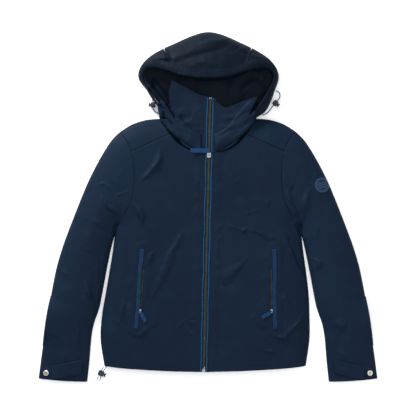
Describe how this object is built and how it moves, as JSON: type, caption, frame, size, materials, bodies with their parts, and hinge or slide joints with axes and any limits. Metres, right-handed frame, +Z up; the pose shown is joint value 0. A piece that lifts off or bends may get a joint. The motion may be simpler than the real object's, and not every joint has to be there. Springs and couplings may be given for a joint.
{
  "type": "foul weather jacket",
  "caption": "Hooded waterproof sailing jacket with a full-length zip, zipped hand pockets, cuff tabs and drawcord hood, laid flat on its back.",
  "frame": {"origin": "on the surface that the jacket lies on, under the middle of its outline", "axes": "+X to the wearer's left, +Y from the hem to the hood, +Z up out of the front of the jacket"},
  "size_m": [0.9212, 0.9497, 0.0599],
  "materials": {
    "shell": "matt plain-weave nylon",
    "lining": "smooth satin-weave lining",
    "trim": "blue woven ribbon",
    "tape": "herringbone zip tape",
    "teeth": "moulded zip teeth",
    "metal": "satin nickel",
    "badge": "soft moulded badge",
    "cord": "braided elastic cord",
    "plastic": "satin moulded plastic"
  },
  "bodies": {
    "jacket": {"back_panel": "shell", "back_yoke": "shell", "collar_facing_left": "lining", "collar_facing_right": "lining", "collar_outer_left": "shell", "collar_outer_right": "shell", "front_panel_left": "shell", "front_panel_right": "shell", "front_yoke_left": "shell", "front_yoke_right": "shell", "hanger_loop": "tape", "hem_cord": "cord", "hood_centre_panel": "shell", "hood_left_cord": "cord", "hood_left_panel": "shell", "hood_lining": "lining", "hood_right_cord": "cord", "hood_right_panel": "shell", "lining_back": "lining", "lining_front_left": "lining", "lining_front_right": "lining", "piping_left": "trim", "piping_right": "trim", "pocket_bag_left": "lining", "pocket_bag_right": "lining", "pocket_binding_left": "trim", "pocket_binding_right": "trim", "pocket_zip_left": "teeth", "pocket_zip_right": "teeth", "wind_flap": "lining", "zip_box": "metal", "zip_pin": "metal", "zip_tape_left": "tape", "zip_tape_right": "tape", "zip_teeth_left": "teeth", "zip_teeth_right": "teeth"},
    "main_slider": {"zip_slider": "metal"},
    "main_link": {"pull_link": "metal"},
    "main_ribbon": {"pull_ribbon": "trim"},
    "hem_lock": {"hem_lock": "plastic"},
    "hem_plunger": {"hem_plunger": "plastic"},
    "sleeve_left": {"sleeve_upper_left": "shell", "sleeve_under_left": "shell", "sleeve_lining_left": "lining", "cuff_stud_left": "metal", "sleeve_badge": "badge"},
    "cuff_tab_left": {"cuff_tab_left": "shell"},
    "pocket_slider_left": {"pocket_slider_left": "metal"},
    "pocket_pull_left": {"pocket_pull_left": "trim"},
    "hood_lock_left": {"hood_left_lock": "plastic"},
    "hood_plunger_left": {"hood_left_plunger": "plastic"},
    "sleeve_right": {"sleeve_upper_right": "shell", "sleeve_under_right": "shell", "sleeve_lining_right": "lining", "cuff_stud_right": "metal"},
    "cuff_tab_right": {"cuff_tab_right": "shell"},
    "pocket_slider_right": {"pocket_slider_right": "metal"},
    "pocket_pull_right": {"pocket_pull_right": "trim"},
    "hood_lock_right": {"hood_right_lock": "plastic"},
    "hood_plunger_right": {"hood_right_plunger": "plastic"}
  },
  "joints": [
    {"name": "main_slider_run", "type": "slide", "parent": "jacket", "child": "main_slider", "axis": [0.0244, 0.9997, 0], "range_m": [-0.55, 0.135]},
    {"name": "main_link_lift", "type": "hinge", "parent": "main_slider", "child": "main_link", "pos_m": [0.00257, 0.13983, 0.03435], "axis": [0.9997, -0.0244, 0], "range_deg": [0, 150]},
    {"name": "main_ribbon_swing", "type": "hinge", "parent": "main_link", "child": "main_ribbon", "pos_m": [0.00284, 0.15082, 0.03535], "axis": [0, 0, -1], "range_deg": [0, 50]},
    {"name": "pocket_slider_run_left", "type": "slide", "parent": "jacket", "child": "pocket_slider_left", "axis": [-0.0052, 1, 0], "range_m": [0, 0.108]},
    {"name": "pocket_pull_swing_left", "type": "hinge", "parent": "pocket_slider_left", "child": "pocket_pull_left", "pos_m": [0.17099, -0.2824, 0.035], "axis": [0, 0, 1], "range_deg": [-30, 30]},
    {"name": "pocket_slider_run_right", "type": "slide", "parent": "jacket", "child": "pocket_slider_right", "axis": [0.075, 0.9972, 0], "range_m": [0, 0.108]},
    {"name": "pocket_pull_swing_right", "type": "hinge", "parent": "pocket_slider_right", "child": "pocket_pull_right", "pos_m": [-0.18188, -0.28241, 0.035], "axis": [0, 0, 1], "range_deg": [-30, 30]},
    {"name": "hood_lock_left_slide", "type": "slide", "parent": "jacket", "child": "hood_lock_left", "axis": [0.6613, 0.7501, 0], "range_m": [-0.0015, 0.0015]},
    {"name": "hood_plunger_left_press", "type": "slide", "parent": "hood_lock_left", "child": "hood_plunger_left", "axis": [-0.7501, 0.6613, 0], "range_m": [0, 0.002], "stiffness_N_per_m": 400, "springref_m": -0.001},
    {"name": "hood_lock_right_slide", "type": "slide", "parent": "jacket", "child": "hood_lock_right", "axis": [0, -1, 0], "range_m": [-0.0015, 0.0015]},
    {"name": "hood_plunger_right_press", "type": "slide", "parent": "hood_lock_right", "child": "hood_plunger_right", "axis": [1, 0, 0], "range_m": [0, 0.002], "stiffness_N_per_m": 400, "springref_m": -0.001},
    {"name": "hem_lock_slide", "type": "slide", "parent": "jacket", "child": "hem_lock", "axis": [0.4274, 0.9041, 0], "range_m": [-0.001, 0.001]},
    {"name": "hem_plunger_press", "type": "slide", "parent": "hem_lock", "child": "hem_plunger", "axis": [-0.9041, 0.4274, 0], "range_m": [0, 0.002], "stiffness_N_per_m": 400, "springref_m": -0.001},
    {"name": "sleeve_raise_left", "type": "hinge", "parent": "jacket", "child": "sleeve_left", "pos_m": [0.24, 0.204, 0], "axis": [0, 0, 1], "range_deg": [0, 18]},
    {"name": "cuff_tab_lift_left", "type": "hinge", "parent": "sleeve_left", "child": "cuff_tab_left", "pos_m": [0.34, -0.43, 0.0175], "axis": [0, -1, 0], "range_deg": [0, 120]},
    {"name": "sleeve_raise_right", "type": "hinge", "parent": "jacket", "child": "sleeve_right", "pos_m": [-0.24, 0.204, 0], "axis": [0, 0, -1], "range_deg": [0, 18]},
    {"name": "cuff_tab_lift_right", "type": "hinge", "parent": "sleeve_right", "child": "cuff_tab_right", "pos_m": [-0.34, -0.43, 0.0175], "axis": [0, 1, 0], "range_deg": [0, 120]}
  ]
}
